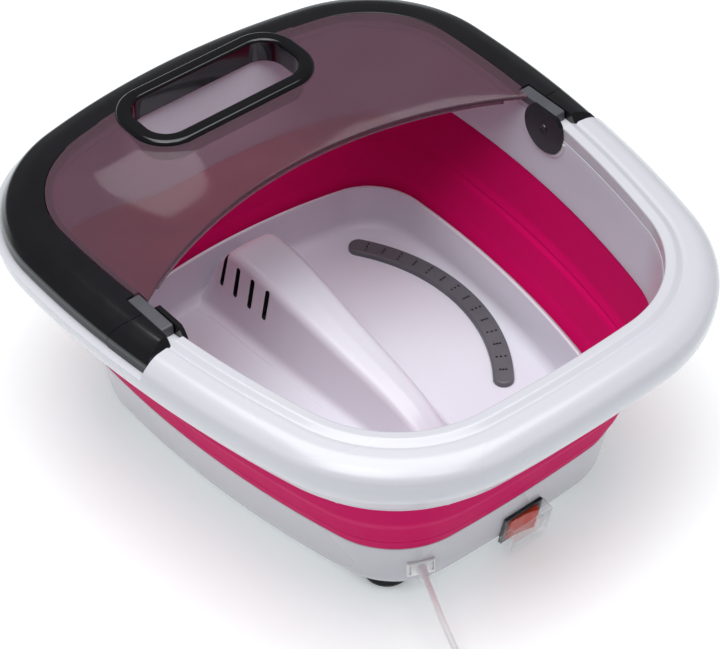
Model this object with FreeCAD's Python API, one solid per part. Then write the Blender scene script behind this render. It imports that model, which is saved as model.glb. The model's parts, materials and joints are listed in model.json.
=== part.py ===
"""Folding foot spa: a rigid base tub, a soft folding wall, a rigid rim and a splash guard that swings up as a handle.

Frame: millimetres, +Z up, origin on the floor under the middle of the rim. The user sits at -Y, where the power
switch is. The rear half of the rim, at +Y, carries the splash guard.
Most rings follow one plan outline, made of eight tangent arcs, and every ring is a parallel inset of it. A profile
is a list of (inset, height, corner radius).
"""

import FreeCAD, Part
import math
import os

from FreeCAD import Vector

# ---- driving dimensions -------------------------------------------------------------------------------------------
LENGTH = 424.0  # rim, front to back
WIDTH = 382.0  # rim, at its widest
WIDEST_Y = 67.0
FRONT_ARC = 1085.0
SIDE_ARC = 738.0
REAR_ARC = 494.0
FRONT_CORNER = 116.0
REAR_CORNER = 106.0

FOOT_RADIUS = 16.5
FOOT_TOP = 7.5
BASE_BOTTOM = 10.0
BASE_TOP = 54.0
BASE_TOP_INSET = 57.5
BASE_BOTTOM_INSET = 65.7
WALL = 2.5
BASE_FILLET = 12.0
COVER_INSET = 77.0

FLOOR_UNDER = 23.5
FLOOR_TOP = 26.0
TUB_TOP = 57.0
TUB_TOP_INSET = 64.8
RIDGE_SECTIONS = [  # y, half width at the floor, half width at the top, height of the top
    (-78.0, 17.0, 8.0, 34.0),
    (-46.0, 22.0, 11.0, 52.0),
    (30.0, 26.0, 15.0, 66.0),
    (80.0, 28.0, 18.0, 75.0),
    (116.0, 29.0, 18.5, 76.0),
    (138.0, 31.0, 17.0, 50.0),
]
SLIT_YS = [77.0, 92.0, 107.0, 122.0]
BAY = (-92.0, 48.0, -152.0, -112.0, 46.0)  # x from, x to, y from, y to, top: dry space at the front of the tub

RIM_BOTTOM = 137.0
RIM_THICKNESS = 2.6
LINER_BOTTOM = 124.6
LINER_TOP = 171.9
LINER_INSET = 37.6

PIVOT_Y = -2.0
PIVOT_Z = 171.0
KNUCKLE_RADIUS = 17.8
POCKET_RADIUS = 18.0
EAR_X = 149.3
POCKET_X = 172.0
LINK_X = (152.6, 161.4)
PIN_RADIUS = 3.0

LID_TOP = 185.2
LID_THICKNESS = 2.4
WINDOW = 2.6  # thickness of the smoked window
BORDER_INSET = 34.0
EDGE_ARC_RADIUS = 287.0
EDGE_ARC_Y = -226.0
SLOT_HALF = 59.5
SLOT_Y = (128.5, 172.5)
SLOT_CORNER = 16.0
HANDLE_WALL = 2.5
HANDLE_FLANGE = 10.5

SWITCH_X = 4.0
SWITCH_Z = 22.5
ROCKER_TILT = 8.0

GLAND = Vector(-74.5, -144.2, 32.0)
GLAND_DIRECTION = Vector(-0.39, -0.92, 0.0).normalize()
CORD_RADIUS = 2.0
SLEEVE = 12.0
CORD_ROUTE = [  # from the strain relief to the outer turn of the coil
    (-79.18, -155.25, 32.0),
    (-83.9, -166.4, 31.8),
    (-89.5, -180.0, 30.0),
    (-94.0, -195.0, 24.5),
    (-97.0, -211.0, 14.0),
    (-98.0, -227.0, 5.8),
    (-97.5, -240.0, 2.3),
    (-96.0, -250.0, 2.0),
]
TAIL_ROUTE = [  # from the coil to the plug
    (-172.0, -250.0, 6.0),
    (-172.9, -239.0, 6.1),
    (-172.7, -227.0, 6.7),
    (-172.0, -216.0, 7.0),
]
COIL_CENTRE = Vector(-134.0, -250.0, 0.0)
COIL_INNER = 18.6
COIL_OUTER = 40.2
COIL_HEIGHT = 8.0
PLUG_FRONT_Y = -170.0

X_AXIS = Vector(1, 0, 0)
Y_AXIS = Vector(0, 1, 0)
Z_AXIS = Vector(0, 0, 1)


# ---- plan outline -------------------------------------------------------------------------------------------------
def mirrored(point):
    return Vector(-point.x, point.y, point.z)


def corner_centre(centre_a, radius_a, centre_b, radius_b, corner):
    """Centre of the circle that touches two larger arcs from inside, on the +X side."""
    reach_a = radius_a - corner
    reach_b = radius_b - corner
    gap = centre_b - centre_a
    along = (reach_a**2 - reach_b**2 + gap.Length**2) / (2 * gap.Length)
    aside = math.sqrt(reach_a**2 - along**2)
    foot = centre_a + gap * (along / gap.Length)
    side = Vector(-gap.y, gap.x, 0).normalize() * aside
    return max(foot + side, foot - side, key=lambda point: point.x)


def heading(start, end):
    return math.degrees(math.atan2(end.y - start.y, end.x - start.x))


def outline_arcs():
    """The eight arcs of the outline, counter-clockwise: (centre, radius, first angle, last angle)."""
    front = Vector(0, -LENGTH / 2 + FRONT_ARC, 0)
    side = Vector(WIDTH / 2 - SIDE_ARC, WIDEST_Y, 0)
    rear = Vector(0, LENGTH / 2 - REAR_ARC, 0)
    low = corner_centre(front, FRONT_ARC, side, SIDE_ARC, FRONT_CORNER)
    high = corner_centre(rear, REAR_ARC, side, SIDE_ARC, REAR_CORNER)
    a = heading(front, low)
    b = heading(side, low)
    c = heading(side, high)
    d = heading(rear, high)
    return [
        (front, FRONT_ARC, -180 - a, a),
        (low, FRONT_CORNER, a, b),
        (side, SIDE_ARC, b, c),
        (high, REAR_CORNER, c, d),
        (rear, REAR_ARC, d, 180 - d),
        (mirrored(high), REAR_CORNER, 180 - d, 180 - c),
        (mirrored(side), SIDE_ARC, 180 - c, 180 - b),
        (mirrored(low), FRONT_CORNER, 180 - b, 180 - a),
    ]


ARCS = outline_arcs()


def on_arc(arc, angle, inset, z):
    centre, radius, _, _ = arc
    turn = math.radians(angle)
    return Vector(centre.x + (radius - inset) * math.cos(turn), centre.y + (radius - inset) * math.sin(turn), z)


def plan_face(inset, z):
    edges = []
    for arc in ARCS:
        _, _, first, last = arc
        points = [on_arc(arc, angle, inset, z) for angle in (first, (first + last) / 2, last)]
        edges.append(Part.Arc(*points).toShape())
    return Part.Face(Part.Wire(edges))


def outline_points(inset, z, angles):
    """Points on the inset outline whose outward normals point at the given angles."""
    points = []
    for angle in angles:
        for arc in ARCS:
            _, _, first, last = arc
            for turned in (angle - 360, angle, angle + 360):
                if first <= turned < last:
                    points.append(on_arc(arc, turned, inset, z))
    return points


# ---- solids -------------------------------------------------------------------------------------------------------
def rounded_wire(points, radii, closed):
    """Straight runs joined by tangent arcs of the given radii."""
    count = len(points)
    corners = []
    for k, point in enumerate(points):
        if radii[k] <= 0 or (not closed and k in (0, count - 1)):
            corners.append((point, None, point))
            continue
        back = (points[k - 1] - point).normalize()
        ahead = (points[(k + 1) % count] - point).normalize()
        half = back.getAngle(ahead) / 2
        cut = radii[k] / math.tan(half)
        middle = point + (back + ahead).normalize() * (radii[k] / math.sin(half) - radii[k])
        corners.append((point + back * cut, middle, point + ahead * cut))
    edges = []
    for k, (start, middle, end) in enumerate(corners):
        if middle is not None:
            edges.append(Part.Arc(start, middle, end).toShape())
        if k < count - 1 or closed:
            following = corners[(k + 1) % count][0]
            if (following - end).Length > 1e-6:
                edges.append(Part.LineSegment(end, following).toShape())
    return Part.Wire(edges)


def swept_faces(profile, closed):
    """The faces that a profile makes as it goes round the outline."""
    radii = [radius for _, _, radius in profile]
    faces = []
    for arc in ARCS:
        centre, _, first, last = arc
        wire = rounded_wire([on_arc(arc, first, inset, z) for inset, z, _ in profile], radii, closed)
        faces += wire.revolve(centre, Z_AXIS, last - first).Faces
    return faces


def solid_from(faces):
    shell = Part.makeShell(faces)
    shell.sewShape()
    solid = Part.makeSolid(shell)
    if solid.Volume < 0:
        solid.reverse()
    return solid


def ring(profile):
    return solid_from(swept_faces(profile, True))


def filled(profile):
    """A solid whose side follows an open profile, closed flat at both ends."""
    ends = [plan_face(inset, z) for inset, z, _ in (profile[0], profile[-1])]
    return solid_from(swept_faces(profile, False) + ends)


def offset_path(path, distance):
    """A profile moved inwards by a wall thickness, with its corners mitred."""
    normals = []
    for (i0, z0, _), (i1, z1, _) in zip(path, path[1:]):
        length = math.hypot(i1 - i0, z1 - z0)
        normals.append(((z1 - z0) / length, -(i1 - i0) / length))
    moved = []
    for k, (inset, z, radius) in enumerate(path):
        before = normals[max(k - 1, 0)]
        after = normals[min(k, len(normals) - 1)]
        scale = distance / (1 + before[0] * after[0] + before[1] * after[1])
        turn = before[0] * after[1] - before[1] * after[0]
        new_radius = radius + math.copysign(distance, turn)
        if radius == 0 or new_radius < 0.5:
            new_radius = 0.0
        moved.append((inset + scale * (before[0] + after[0]), z + scale * (before[1] + after[1]), new_radius))
    return moved


def skin(path, thickness):
    return ring(path + offset_path(path, thickness)[::-1])


def box(x0, x1, y0, y1, z0, z1):
    return Part.makeBox(x1 - x0, y1 - y0, z1 - z0, Vector(x0, y0, z0))


def cylinder(start, axis, radius, length):
    return Part.makeCylinder(radius, length, start, axis)


def post(x, y, z0, z1, radius):
    return cylinder(Vector(x, y, z0), Z_AXIS, radius, z1 - z0)


def mirror_x(shape):
    return shape.mirror(Vector(0, 0, 0), X_AXIS)


def rounded_block(half, y0, y1, corner, z0, z1):
    """An upright prism over a rounded rectangle that is centred on x = 0."""
    corners = [Vector(-half, y0, z0), Vector(half, y0, z0), Vector(half, y1, z0), Vector(-half, y1, z0)]
    wire = rounded_wire(corners, [corner] * 4, True)
    return Part.Face(wire).extrude(Vector(0, 0, z1 - z0))


def softened(shape, radius, wanted):
    """Rounds the edges that the test picks out."""
    return shape.makeFillet(radius, [edge for edge in shape.Edges if wanted(edge)])


def tube(points, radii, radius):
    path = rounded_wire(points, radii, False)
    circle = Part.Circle(points[0], points[1] - points[0], radius)
    return path.makePipeShell([Part.Wire(circle.toShape())], True, True)


def bend_radii(points):
    """Each bend is as large as its two runs allow."""
    radii = [0.0]
    for before, corner, after in zip(points, points[1:], points[2:]):
        run = min((corner - before).Length, (after - corner).Length)
        turn = math.pi - (before - corner).getAngle(after - corner)
        radii.append(0.45 * run / math.tan(turn / 2))
    return radii + [0.0]


# ---- profiles that several parts share ----------------------------------------------------------------------------
FRONT_RIM = [
    (14.0, RIM_BOTTOM, 0.0),
    (0.4, 157.0, 20.0),
    (-0.4, 171.0, 10.0),
    (10.0, 178.2, 20.0),
    (23.5, 179.4, 5.0),
    (28.0, 181.0, 0.0),
    (34.2, 180.6, 0.0),
    (34.6, LINER_TOP, 0.0),
]
REAR_TOP = [  # the lowered top of the rim behind the knuckles, under the guard
    (-8.0, 167.4, 0.0),
    (8.8, 167.4, 0.8),
    (10.6, 173.0, 3.0),
    (16.0, 176.2, 8.0),
    (25.0, 177.6, 8.0),
    (42.0, 177.0, 0.0),
]
LID_SKIN = [
    (5.0, 168.0, 0.0),
    (5.4, 174.0, 7.0),
    (10.0, 180.4, 9.0),
    (20.0, 184.2, 24.0),
    (BORDER_INSET, LID_TOP, 0.0),
]
BASE_SLOPE = (BASE_BOTTOM_INSET - BASE_TOP_INSET) / (BASE_TOP - BASE_BOTTOM)


# ---- base ---------------------------------------------------------------------------------------------------------
def switch_place(shape):
    """Moves a part from the switch's own frame, where -Y points out of the wall, to the sloping front wall."""
    inset = BASE_TOP_INSET + (BASE_TOP - SWITCH_Z) * BASE_SLOPE
    placed = shape.copy()
    placed.rotate(Vector(0, 0, 0), X_AXIS, math.degrees(math.atan(BASE_SLOPE)))
    placed.translate(Vector(SWITCH_X, inset - LENGTH / 2, SWITCH_Z))
    return placed


def gland_place(shape):
    """Moves a part from the gland's own frame, where +Z points out along the cord, to the base wall."""
    placed = shape.copy()
    placed.rotate(Vector(0, 0, 0), X_AXIS, 90)
    placed.rotate(Vector(0, 0, 0), Z_AXIS, math.degrees(math.atan2(GLAND_DIRECTION.y, GLAND_DIRECTION.x)) + 90)
    placed.translate(GLAND)
    return placed


def base_shell():
    profile = [
        (80.0, BASE_BOTTOM, 0.0),
        (BASE_BOTTOM_INSET, BASE_BOTTOM, BASE_FILLET),
        (BASE_TOP_INSET, BASE_TOP, 0.8),
        (BASE_TOP_INSET + WALL, BASE_TOP, 0.0),
        (BASE_BOTTOM_INSET + WALL, BASE_BOTTOM + WALL, BASE_FILLET - WALL),
        (80.0, BASE_BOTTOM + WALL, 0.0),
    ]
    cutout = switch_place(box(-13.7, 13.7, -10, 10, -10.8, 10.8))
    hole = gland_place(box(-6.5, 6.5, -4.5, 4.5, -15, 10))
    return ring(profile).cut(cutout).cut(hole)


def ridge_wire(y, half_floor, half_top, top, floor, corner):
    points = [
        Vector(-half_floor, y, floor),
        Vector(-half_top, y, top),
        Vector(half_top, y, top),
        Vector(half_floor, y, floor),
    ]
    return rounded_wire(points, [0.0, corner, corner, 0.0], True)


def ridge(shrink, floor):
    """The divider between the feet; a positive shrink gives the hollow under it."""
    wires = []
    for k, (y, half_floor, half_top, top) in enumerate(RIDGE_SECTIONS):
        ends = {0: shrink, len(RIDGE_SECTIONS) - 1: -shrink}
        wires.append(
            ridge_wire(y + ends.get(k, 0), half_floor - shrink, half_top - shrink, top - shrink, floor, 6.0 - shrink)
        )
    return Part.makeLoft(wires, True, True)


def bay_block(shrink, z0):
    x0, x1, y0, y1, top = BAY
    block = box(x0 + shrink, x1 - shrink, y0, y1 - shrink, z0, top - shrink)
    return softened(block, 6.0 - shrink, lambda edge: edge.CenterOfMass.z > z0 + 1 and edge.CenterOfMass.y > y0 + 1)


SCREW_PLACES = [(-70.0, -68.0), (70.0, -68.0), (-88.0, 12.0), (88.0, 12.0), (-62.0, 122.0), (62.0, 122.0)]
STRIP_POINTS = [(86.0, 110.0), (108.0, 50.0), (77.0, -52.0)]
STRIP_HALF = 7.0
NIPPLE = (106.6, 34.0)


def tub_basin():
    divider = ridge(0.0, FLOOR_UNDER)
    outer = filled([(67.2, FLOOR_UNDER, 0), (62.3, TUB_TOP, 0)]).fuse(divider)
    inner = filled([(TUB_TOP_INSET + 5.6, FLOOR_TOP, 0), (TUB_TOP_INSET, TUB_TOP + 0.01, 0)])
    water_space = inner.cut(divider).cut(bay_block(0.0, FLOOR_TOP - 6))
    underside = ridge(WALL, FLOOR_UNDER - 6).fuse(bay_block(WALL, FLOOR_UNDER - 5))
    tub = outer.cut(water_space).cut(underside)
    for x, y in SCREW_PLACES:
        tub = tub.fuse(post(x, y, BASE_BOTTOM, FLOOR_TOP - 1, 4.5))
    for x, y in SCREW_PLACES:
        tub = tub.cut(post(x, y, BASE_BOTTOM - 1, FLOOR_UNDER - 1, 1.5))
    for y in SLIT_YS:
        tub = tub.cut(box(-40, 40, y - 1.5, y + 1.5, 50, 71).cut(box(-12, 12, y - 2, y + 2, 40, 80)))
    for side in (-1, 1):
        tub = tub.cut(post(side * NIPPLE[0], NIPPLE[1], FLOOR_UNDER - 3, FLOOR_TOP + 1, 3.0))
    return tub


def bubble_strip():
    """A curved air outlet beside the right foot, with a row of holes and an inlet nipple under it."""
    start, middle, end = (Vector(x, y, FLOOR_TOP) for x, y in STRIP_POINTS)
    circle = Part.Arc(start, middle, end).toShape().Curve
    centre = circle.Center
    radius = circle.Radius
    first = heading(centre, end)
    sweep = heading(centre, start) - first
    wedge = Part.makeCylinder(radius + STRIP_HALF, 4, centre, Z_AXIS, sweep)
    wedge = wedge.cut(Part.makeCylinder(radius - STRIP_HALF, 4, centre, Z_AXIS, sweep))
    wedge.rotate(centre, Z_AXIS, first)
    strip = wedge
    for tip in (start, end):
        strip = strip.fuse(post(tip.x, tip.y, FLOOR_TOP, FLOOR_TOP + 4, STRIP_HALF))
    strip = strip.removeSplitter()
    strip = softened(strip, 1.5, lambda edge: abs(edge.CenterOfMass.z - FLOOR_TOP - 4) < 0.01 and edge.Length > 1)
    strip = strip.fuse(post(NIPPLE[0], NIPPLE[1], 20.5, FLOOR_TOP + 1, 2.9))
    strip = strip.cut(post(NIPPLE[0], NIPPLE[1], 20, FLOOR_TOP + 2, 1.8))
    gallery = Part.makeCylinder(radius + 2.0, 1.8, centre, Z_AXIS, sweep)
    gallery = gallery.cut(Part.makeCylinder(radius - 2.0, 1.8, centre, Z_AXIS, sweep))
    gallery.rotate(centre, Z_AXIS, first)
    gallery.translate(Vector(0, 0, 0.9))
    strip = strip.cut(gallery)
    holes = 14
    for k in range(holes):
        turn = math.radians(first + sweep * (k + 0.5) / holes)
        for side in (-3.0, 0.0, 3.0):
            reach = radius + (side if k % 2 else side / 1.5)
            x = centre.x + reach * math.cos(turn)
            y = centre.y + reach * math.sin(turn)
            strip = strip.cut(post(x, y, FLOOR_TOP + 1.5, FLOOR_TOP + 5, 0.9))
    return strip


def bottom_cover():
    cover = filled([(COVER_INSET, FOOT_TOP, 0), (COVER_INSET, BASE_BOTTOM, 0)])
    for x, y in SCREW_PLACES:
        cover = cover.cut(post(x, y, FOOT_TOP - 1, BASE_BOTTOM + 1, 1.7))
    for x, y in FEET.values():
        cover = cover.cut(post(x, y, FOOT_TOP - 1, BASE_BOTTOM + 1, 4.0))
    for k in range(7):
        y = 56 + 8.0 * k
        cover = cover.cut(box(24, 44, y, y + 3, FOOT_TOP - 1, BASE_BOTTOM + 1))
    for x, y in BOARD_POSTS:
        cover = cover.fuse(post(x, y, BASE_BOTTOM, BOARD_Z, 3.0))
    return cover


FEET = {
    "foot_front_left": (-74.0, -112.0),
    "foot_front_right": (74.0, -112.0),
    "foot_rear_left": (-88.0, 104.0),
    "foot_rear_right": (88.0, 104.0),
}


def foot(x, y):
    pad = Part.makeCone(FOOT_RADIUS - 1.5, FOOT_RADIUS, 3.0, Vector(x, y, 0))
    pad = pad.fuse(Part.makeCone(FOOT_RADIUS, FOOT_RADIUS - 3.0, FOOT_TOP - 3.0, Vector(x, y, 3.0)))
    plug = post(x, y, FOOT_TOP - 1, BASE_BOTTOM + 1, 3.9).fuse(post(x, y, BASE_BOTTOM, BASE_BOTTOM + 1.6, 5.2))
    return pad.fuse(plug)


def screw(x, y, head_bottom, shank_top, shank):
    head = softened(post(x, y, head_bottom, head_bottom + 1.6, 3.0), 0.6, lambda edge: edge.CenterOfMass.z < head_bottom + 0.1)
    slot = box(x - 2.2, x + 2.2, y - 0.4, y + 0.4, head_bottom - 0.1, head_bottom + 0.8)
    return head.cut(slot).fuse(post(x, y, head_bottom + 1.5, shank_top, shank))


def cover_screws():
    return Part.makeCompound([screw(x, y, FOOT_TOP - 1.6, FLOOR_UNDER - 3, 1.45) for x, y in SCREW_PLACES])


# ---- works inside the base ----------------------------------------------------------------------------------------
BOARD_Z = 13.5
BOARD = (16.0, 66.0, -102.0, -80.0)
BOARD_POSTS = [(20.0, -98.0), (62.0, -98.0), (20.0, -84.0), (62.0, -84.0)]
PUMP_Z = 13.0
PUMP_OUTLET = Vector(0, 42, 34)
HOSE_Z = 17.0
HOSE_Y = NIPPLE[1]


def air_pump_body():
    block = box(-14, 14, 60, 116, PUMP_Z, 50)
    block = softened(block, 4.0, lambda edge: edge.CenterOfMass.z > 49)
    return block.fuse(cylinder(Vector(0, 112, 32), Y_AXIS, 9, 8))


def air_pump_head():
    head = cylinder(Vector(0, 46, 34), Y_AXIS, 12, 14)
    return head.fuse(cylinder(PUMP_OUTLET, Y_AXIS, 2.4, 5))


def pump_grommets():
    places = [(x, y) for x in (-10, 10) for y in (68, 108)]
    return Part.makeCompound([post(x, y, BASE_BOTTOM, PUMP_Z, 3.5) for x, y in places])


def air_manifold():
    rise = cylinder(Vector(0, HOSE_Y, HOSE_Z), Z_AXIS, 3.4, PUMP_OUTLET.z - HOSE_Z)
    across = cylinder(Vector(-14, HOSE_Y, HOSE_Z), X_AXIS, 2.4, 28)
    inlet = cylinder(Vector(0, HOSE_Y, PUMP_OUTLET.z), Y_AXIS, 3.4, PUMP_OUTLET.y - HOSE_Y)
    knee = Part.makeSphere(3.4, Vector(0, HOSE_Y, PUMP_OUTLET.z))
    return rise.fuse(across).fuse(inlet).fuse(knee)


def air_hose():
    run = cylinder(Vector(14, HOSE_Y, HOSE_Z), X_AXIS, 2.6, NIPPLE[0] - 14)
    knee = Part.makeSphere(2.6, Vector(NIPPLE[0], HOSE_Y, HOSE_Z))
    return run.fuse(knee).fuse(post(NIPPLE[0], HOSE_Y, HOSE_Z, 20.5, 2.6))


def heater_plate():
    plate = box(-76, -34, -40, 26, 20.6, FLOOR_UNDER - 0.1)
    plate = softened(plate, 5.0, lambda edge: abs(edge.tangentAt(edge.FirstParameter).z) > 0.9)
    cover = box(-66, -44, -30, 16, 17.4, 20.6)
    return plate.fuse(cover)


def thermal_cutout():
    body = post(-55, 2, 12.4, 17.4, 7.0)
    blades = [box(-55 + side * 3 - 0.4, -55 + side * 3 + 0.4, -12, -4, 12.6, 16) for side in (-1, 1)]
    return body.fuse(blades)


def terminal_board():
    x0, x1, y0, y1 = BOARD
    board = box(x0, x1, y0, y1, BOARD_Z, BOARD_Z + 1.6)
    top = BOARD_Z + 1.6
    pieces = [box(x0 + 8, x0 + 20, y0 + 3, y0 + 15, top, top + 7.5), box(x0 + 36, x0 + 46, y0 + 2, y0 + 20, top, top + 7)]
    pieces += [post(x0 + 27, y0 + 7, top, top + 7.8, 3.5), post(x0 + 27, y0 + 16, top, top + 6, 2.5)]
    return board.fuse(pieces)


def internal_wires():
    """Mains from the cord to the switch, and on to the board, the pump and the heater."""
    routes = [
        [(-69.5, -132.5, 31.0), (-62, -124, 29), (-10, -121, 27), (-4, -124, 24)],
        [(11, -124, 21), (14, -115, 18), (27, -109, 20), (27, -99.2, 20)],
        [(55, -81.8, 19), (55, -74, 19), (50, -58, 12.5), (24, -20, 12.2), (22, 44, 12.2), (12, 52, 20), (12, 59.8, 20)],
        [(28, -86.8, 19), (28, -79, 19), (10, -66, 14.4), (-30, -50, 14.2), (-52, -25, 14.2), (-52, -12.2, 14.2)],
    ]
    solids = []
    for route in routes:
        points = [Vector(*point) for point in route]
        solids.append(tube(points, [0] + [4] * (len(points) - 2) + [0], 1.1))
    return Part.makeCompound(solids)


# ---- switch -------------------------------------------------------------------------------------------------------
ROCKER_PIVOT = Vector(0, 1.4, 0)


def switch_bezel():
    frame = box(-15.5, 15.5, -2.2, -0.05, -12.75, 12.75)
    frame = softened(frame, 0.8, lambda edge: edge.CenterOfMass.y < -1)
    return switch_place(frame.cut(box(-12.3, 12.3, -3, 1, -10.2, 10.2)))


def switch_body():
    body = box(-13.4, 13.4, -0.05, 14, -10.6, 10.6).cut(box(-12.4, 12.4, -1, 12.6, -10.0, 10.0))
    return switch_place(body.cut(cylinder(ROCKER_PIVOT - Vector(0, 0, 12), Z_AXIS, 1.2, 24)))


def switch_terminals():
    blades = [box(x - 3.15, x + 3.15, 14, 22, z - 0.4, z + 0.4) for x in (-7, 7) for z in (-5, 5)]
    return Part.makeCompound([switch_place(blade) for blade in blades])


def switch_rocker():
    left = box(-11.4, 0.02, -3.6, 4.5, -9.6, 9.6)
    left.rotate(ROCKER_PIVOT, Z_AXIS, 5)
    right = box(-0.02, 11.4, -3.6, 4.5, -9.6, 9.6)
    right.rotate(ROCKER_PIVOT, Z_AXIS, -5)
    drum = Part.makeCylinder(11.9, 40, ROCKER_PIVOT - Vector(0, 0, 20), Z_AXIS)
    paddle = left.fuse(right).common(drum)
    paddle = paddle.cut(Part.makeCylinder(1.25, 40, ROCKER_PIVOT - Vector(0, 0, 20), Z_AXIS))
    paddle.rotate(ROCKER_PIVOT, Z_AXIS, -ROCKER_TILT)
    return switch_place(paddle)


def rocker_pin():
    return switch_place(Part.makeCylinder(1.2, 21.2, ROCKER_PIVOT - Vector(0, 0, 10.6), Z_AXIS))


def splash_cap():
    """The clear waterproof cover that clips over the bezel."""
    outer = box(-16.6, 16.6, -11.5, -0.4, -13.8, 13.8)
    outer = softened(outer, 2.0, lambda edge: edge.CenterOfMass.y < -1)
    inner = box(-15.65, 15.65, -10.5, 0.1, -12.9, 12.9)
    inner = softened(inner, 1.2, lambda edge: edge.CenterOfMass.y < -1)
    return switch_place(outer.cut(inner))


# ---- cord ---------------------------------------------------------------------------------------------------------
def cord_gland():
    """A white bush: a flange on the wall, a neck through it, and a tapered sleeve that the cord leaves by."""
    flange = softened(box(-9, 9, -6, 6, -4.0, 3.0), 1.2, lambda edge: edge.CenterOfMass.z > 0)
    sleeve = Part.makeCone(3.8, 2.8, SLEEVE, Vector(0, 0, 0))
    slots = [box(side * 7.2 - 0.7, side * 7.2 + 0.7, -4, 4, 1.6, 4) for side in (-1, 1)]
    base = filled([(BASE_BOTTOM_INSET, BASE_BOTTOM, 0.0), (BASE_TOP_INSET, BASE_TOP, 0.0)])
    neck = gland_place(box(-6.4, 6.4, -4.4, 4.4, -8, 2))
    return gland_place(flange.fuse(sleeve).cut(slots)).cut(base).fuse(neck)


def cord_clamp():
    bar = box(-8, 8, -4.2, 4.2, -12.2, -8.2)
    return gland_place(bar.fuse(cylinder(Vector(-6, 0, -13.4), Z_AXIS, 1.8, 2)).fuse(
        cylinder(Vector(6, 0, -13.4), Z_AXIS, 1.8, 2)
    ))


def cord_tube(name, route):
    points = [Vector(*point) for point in route]
    radii = bend_radii(points)
    solid = tube(points, radii, CORD_RADIUS)
    length = rounded_wire(points, radii, False).Length
    section = math.pi * CORD_RADIUS**2
    print(name, "length", round(length, 1), "radii", [round(radius, 1) for radius in radii[1:-1]])
    print(name, "volume", round(solid.Volume), "section times length", round(section * length))
    return solid


def cord_coil():
    middle = (COIL_INNER + COIL_OUTER) / 2
    half = (COIL_OUTER - COIL_INNER) / 2
    corners = [Vector(middle + x, 0, z) for x, z in ((-half, 0), (half, 0), (half, COIL_HEIGHT), (-half, COIL_HEIGHT))]
    section = Part.Face(rounded_wire(corners, [CORD_RADIUS] * 4, True))
    coil = section.revolve(Vector(0, 0, 0), Z_AXIS, 360)
    coil.translate(COIL_CENTRE)
    return coil


def cord_tie():
    """A soft strap that clips over one side of the coil."""
    middle = (COIL_INNER + COIL_OUTER) / 2
    half = (COIL_OUTER - COIL_INNER) / 2
    outer = box(middle - half - 1.2, middle + half + 1.2, -5, 5, 0.0, COIL_HEIGHT + 1.2)
    outer = softened(outer, 2.5, lambda edge: abs(edge.tangentAt(edge.FirstParameter).y) > 0.9)
    hole = box(middle - half, middle + half, -6, 6, -1, COIL_HEIGHT)
    tie = outer.cut(hole)
    tie.translate(COIL_CENTRE)
    tie.rotate(COIL_CENTRE, Z_AXIS, -60)
    return tie


def plug_body():
    x, _, z = TAIL_ROUTE[-1]
    block = box(x - 16.5, x + 16.5, PLUG_FRONT_Y - 26, PLUG_FRONT_Y, 0.0, 14.0)
    block = softened(block, 4.5, lambda edge: abs(edge.tangentAt(edge.FirstParameter).y) > 0.9)
    neck = Part.makeCone(2.8, 6.2, 21, Vector(x, TAIL_ROUTE[-1][1], z), Y_AXIS)
    return block.fuse(neck)


def plug_pins():
    x, _, z = TAIL_ROUTE[-1]
    pins = []
    for side in (-9.5, 9.5):
        pin = cylinder(Vector(x + side, PLUG_FRONT_Y, z), Y_AXIS, 2.0, 19)
        pins.append(softened(pin, 0.8, lambda edge: edge.CenterOfMass.y > PLUG_FRONT_Y + 18))
    return Part.makeCompound(pins)


# ---- folding wall and rim -----------------------------------------------------------------------------------------
def folding_wall():
    outer = [
        (34.9, LINER_BOTTOM - 0.1, 0.0),
        (42.0, 92.0, 12.0),
        (46.5, 84.0, 6.0),
        (53.0, 64.0, 8.0),
        (BASE_TOP_INSET + 0.2, BASE_TOP + 0.1, 0.0),
    ]
    inner = [(inset + 2.3, z, radius) for inset, z, radius in outer]
    return ring(outer + inner[::-1])


def front_of(y):
    return box(-400, 400, -400, y, 0, 400)


def rear_zone(margin):
    """The part of the rim whose top is lowered: all behind the pivots, and a round end about each of them."""
    knuckles = cylinder(Vector(-300, PIVOT_Y, PIVOT_Z), X_AXIS, POCKET_RADIUS + margin, 600)
    above = box(-400, 400, -400, 400, 160 - margin, 400)
    return box(-400, 400, PIVOT_Y - margin, 400, 100, 400).fuse(knuckles).common(above)


def above_rear_top(path):
    return ring(path + [(42.0, 195.0, 0.0), (-8.0, 195.0, 0.0)])


def rim_shell():
    under = offset_path(FRONT_RIM, RIM_THICKNESS)
    cavity = [(14.3, RIM_BOTTOM - 4, 0.0)] + under[1:-1]
    cavity += [(under[-1][0], LINER_TOP, 0.0), (42.0, LINER_TOP, 0.0), (42.0, RIM_BOTTOM - 4, 0.0)]
    step = above_rear_top(REAR_TOP).common(rear_zone(0))
    inner_step = above_rear_top(offset_path(REAR_TOP, RIM_THICKNESS)).common(rear_zone(RIM_THICKNESS))
    outer = ring(FRONT_RIM + [(34.6, RIM_BOTTOM, 0.0)]).cut(step)
    shell = outer.cut(ring(cavity).cut(inner_step))
    places = outline_points(28.0, 0, RIM_SCREW_ANGLES)
    shell = shell.fuse([post(place.x, place.y, LINER_BOTTOM + 2.5, 175.0, 4.0) for place in places])
    for place in places:
        shell = shell.cut(post(place.x, place.y, LINER_BOTTOM, 145.0, 1.5))
    return cut_pockets(shell)


RIM_SCREW_ANGLES = [250.0, 290.0, -28.0, 208.0, 30.0, 150.0, 75.0, 105.0]


def cut_pockets(shape):
    """Opens the inner side of the rim for the two hinge blocks."""
    length = POCKET_X - 130
    pocket = cylinder(Vector(130, PIVOT_Y, PIVOT_Z), X_AXIS, POCKET_RADIUS, length)
    return shape.cut(pocket).cut(mirror_x(pocket))


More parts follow.
